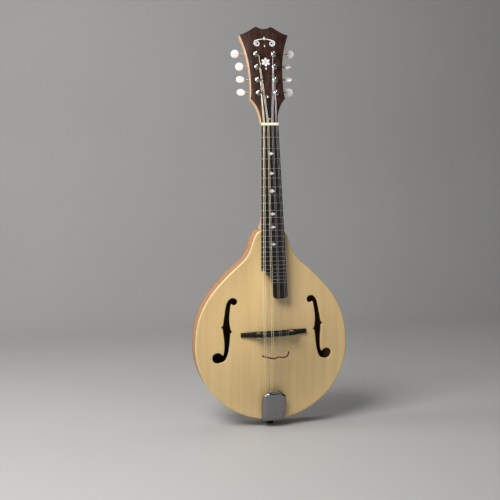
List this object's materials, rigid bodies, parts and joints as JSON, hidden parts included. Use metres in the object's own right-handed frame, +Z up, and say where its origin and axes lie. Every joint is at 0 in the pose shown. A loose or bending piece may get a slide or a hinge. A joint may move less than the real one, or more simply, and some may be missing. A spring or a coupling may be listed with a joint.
{
  "type": "mandolin",
  "caption": "Teardrop-bodied mandolin with carved top, f-shaped sound holes, paired strings, geared tuners, an adjustable bridge and a covered tailpiece.",
  "frame": {"origin": "centre of the end pin's flat outer face", "axes": "+Z up the body and neck, +X towards the treble side, +Y out of the back, -Y out of the face"},
  "size_m": [0.2654, 0.098, 0.6858],
  "materials": {
    "spruce": "thin satin finish, natural",
    "maple": "satin, salmon tan",
    "mahogany": "satin",
    "lining_wood": "bare",
    "rosewood": "satin, dark reddish brown",
    "ebony": "oiled",
    "bone": "polished bone",
    "black_plastic": "gloss",
    "chrome": "polished",
    "brass": "polished",
    "steel": "plain",
    "bronze": "wound phosphor bronze",
    "pearloid": "pearloid",
    "leather": "dark red-brown lace"
  },
  "bodies": {
    "instrument": {"back_plate": "maple", "bridge_base": "ebony", "bridge_stud_bass": "steel", "bridge_stud_treble": "steel", "end_pin": "ebony", "fingerboard": "ebony", "head_block": "mahogany", "headstock_veneer": "rosewood", "lining_back": "lining_wood", "lining_top": "lining_wood", "neck": "mahogany", "nut": "bone", "rim": "maple", "string_a1": "steel", "string_a2": "steel", "string_d1": "bronze", "string_d2": "bronze", "string_damper": "leather", "string_e1": "steel", "string_e2": "steel", "string_g1": "bronze", "string_g2": "bronze", "tail_block": "mahogany", "tailpiece_base": "chrome", "tone_bar_bass": "spruce", "tone_bar_treble": "spruce", "top_plate": "spruce", "truss_rod": "steel", "truss_rod_cover": "black_plastic", "tuner_plate_bass": "chrome", "tuner_plate_treble": "chrome"},
    "bridge_saddle": {"bridge_saddle": "ebony"},
    "bridge_wheel_bass": {"bridge_wheel_bass": "brass"},
    "bridge_wheel_treble": {"bridge_wheel_treble": "brass"},
    "tailpiece_cover": {"tailpiece_cover": "chrome"},
    "truss_rod_nut": {"truss_rod_nut": "brass"},
    "tuner_key_g1": {"tuner_worm_g1": "steel", "tuner_button_g1": "pearloid"},
    "tuner_post_g1": {"tuner_post_g1": "chrome"},
    "tuner_key_g2": {"tuner_worm_g2": "steel", "tuner_button_g2": "pearloid"},
    "tuner_post_g2": {"tuner_post_g2": "chrome"},
    "tuner_key_d1": {"tuner_worm_d1": "steel", "tuner_button_d1": "pearloid"},
    "tuner_post_d1": {"tuner_post_d1": "chrome"},
    "tuner_key_d2": {"tuner_worm_d2": "steel", "tuner_button_d2": "pearloid"},
    "tuner_post_d2": {"tuner_post_d2": "chrome"},
    "tuner_key_e2": {"tuner_worm_e2": "steel", "tuner_button_e2": "pearloid"},
    "tuner_post_e2": {"tuner_post_e2": "chrome"},
    "tuner_key_e1": {"tuner_worm_e1": "steel", "tuner_button_e1": "pearloid"},
    "tuner_post_e1": {"tuner_post_e1": "chrome"},
    "tuner_key_a2": {"tuner_worm_a2": "steel", "tuner_button_a2": "pearloid"},
    "tuner_post_a2": {"tuner_post_a2": "chrome"},
    "tuner_key_a1": {"tuner_worm_a1": "steel", "tuner_button_a1": "pearloid"},
    "tuner_post_a1": {"tuner_post_a1": "chrome"}
  },
  "joints": [
    {"name": "bridge_height", "type": "slide", "parent": "instrument", "child": "bridge_saddle", "axis": [0, -1, 0], "range_m": [-0.0012, 0.0012], "deforming": ["string_a1", "string_a2", "string_d1", "string_d2", "string_e1", "string_e2", "string_g1", "string_g2"]},
    {"name": "thumbwheel_bass", "type": "hinge", "parent": "bridge_saddle", "child": "bridge_wheel_bass", "pos_m": [-0.02849, -0.0467, 0.1643], "axis": [0, -1, 0], "range_deg": [-620.1, 620.1]},
    {"name": "thumbwheel_treble", "type": "hinge", "parent": "bridge_saddle", "child": "bridge_wheel_treble", "pos_m": [0.02849, -0.0467, 0.1657], "axis": [0, -1, 0], "range_deg": [-620.1, 620.1]},
    {"name": "cover_slide", "type": "slide", "parent": "instrument", "child": "tailpiece_cover", "axis": [0, -0.1392, 0.9903], "range_m": [0, 0.04]},
    {"name": "truss_rod_adjust", "type": "hinge", "parent": "instrument", "child": "truss_rod_nut", "pos_m": [0, -0.00837, 0.52502], "axis": [0, 0.0872, 0.9962], "range_deg": [-180, 180]},
    {"name": "key_g1", "type": "hinge", "parent": "instrument", "child": "tuner_key_g1", "pos_m": [-0.0153, 0.0163, 0.57307], "axis": [-1, 0, 0], "continuous": true},
    {"name": "post_g1", "type": "hinge", "parent": "instrument", "child": "tuner_post_g1", "pos_m": [-0.0153, -0.00366, 0.57159], "axis": [0, -0.9659, 0.2588], "continuous": true},
    {"name": "key_g2", "type": "hinge", "parent": "instrument", "child": "tuner_key_g2", "pos_m": [-0.0153, 0.02225, 0.59529], "axis": [-1, 0, 0], "continuous": true},
    {"name": "post_g2", "type": "hinge", "parent": "instrument", "child": "tuner_post_g2", "pos_m": [-0.0153, 0.00229, 0.5938], "axis": [0, -0.9659, 0.2588], "continuous": true},
    {"name": "key_d1", "type": "hinge", "parent": "instrument", "child": "tuner_key_d1", "pos_m": [-0.0153, 0.02821, 0.6175], "axis": [-1, 0, 0], "continuous": true},
    {"name": "post_d1", "type": "hinge", "parent": "instrument", "child": "tuner_post_d1", "pos_m": [-0.0153, 0.00824, 0.61602], "axis": [0, -0.9659, 0.2588], "continuous": true},
    {"name": "key_d2", "type": "hinge", "parent": "instrument", "child": "tuner_key_d2", "pos_m": [-0.0153, 0.03416, 0.63972], "axis": [-1, 0, 0], "continuous": true},
    {"name": "post_d2", "type": "hinge", "parent": "instrument", "child": "tuner_post_d2", "pos_m": [-0.0153, 0.01419, 0.63823], "axis": [0, -0.9659, 0.2588], "continuous": true},
    {"name": "key_e2", "type": "hinge", "parent": "instrument", "child": "tuner_key_e2", "pos_m": [0.0153, 0.0163, 0.57307], "axis": [1, 0, 0], "continuous": true},
    {"name": "post_e2", "type": "hinge", "parent": "instrument", "child": "tuner_post_e2", "pos_m": [0.0153, -0.00366, 0.57159], "axis": [0, -0.9659, 0.2588], "continuous": true},
    {"name": "key_e1", "type": "hinge", "parent": "instrument", "child": "tuner_key_e1", "pos_m": [0.0153, 0.02225, 0.59529], "axis": [1, 0, 0], "continuous": true},
    {"name": "post_e1", "type": "hinge", "parent": "instrument", "child": "tuner_post_e1", "pos_m": [0.0153, 0.00229, 0.5938], "axis": [0, -0.9659, 0.2588], "continuous": true},
    {"name": "key_a2", "type": "hinge", "parent": "instrument", "child": "tuner_key_a2", "pos_m": [0.0153, 0.02821, 0.6175], "axis": [1, 0, 0], "continuous": true},
    {"name": "post_a2", "type": "hinge", "parent": "instrument", "child": "tuner_post_a2", "pos_m": [0.0153, 0.00824, 0.61602], "axis": [0, -0.9659, 0.2588], "continuous": true},
    {"name": "key_a1", "type": "hinge", "parent": "instrument", "child": "tuner_key_a1", "pos_m": [0.0153, 0.03416, 0.63972], "axis": [1, 0, 0], "continuous": true},
    {"name": "post_a1", "type": "hinge", "parent": "instrument", "child": "tuner_post_a1", "pos_m": [0.0153, 0.01419, 0.63823], "axis": [0, -0.9659, 0.2588], "continuous": true}
  ],
  "couplings": [
    {"joint": "thumbwheel_bass", "follows": "bridge_height", "rad_per_m": 8976},
    {"joint": "thumbwheel_treble", "follows": "bridge_height", "rad_per_m": 8976},
    {"joint": "post_g1", "follows": "key_g1", "ratio": 0.071429},
    {"joint": "post_g2", "follows": "key_g2", "ratio": 0.071429},
    {"joint": "post_d1", "follows": "key_d1", "ratio": 0.071429},
    {"joint": "post_d2", "follows": "key_d2", "ratio": 0.071429},
    {"joint": "post_e2", "follows": "key_e2", "ratio": 0.071429},
    {"joint": "post_e1", "follows": "key_e1", "ratio": 0.071429},
    {"joint": "post_a2", "follows": "key_a2", "ratio": 0.071429},
    {"joint": "post_a1", "follows": "key_a1", "ratio": 0.071429}
  ]
}
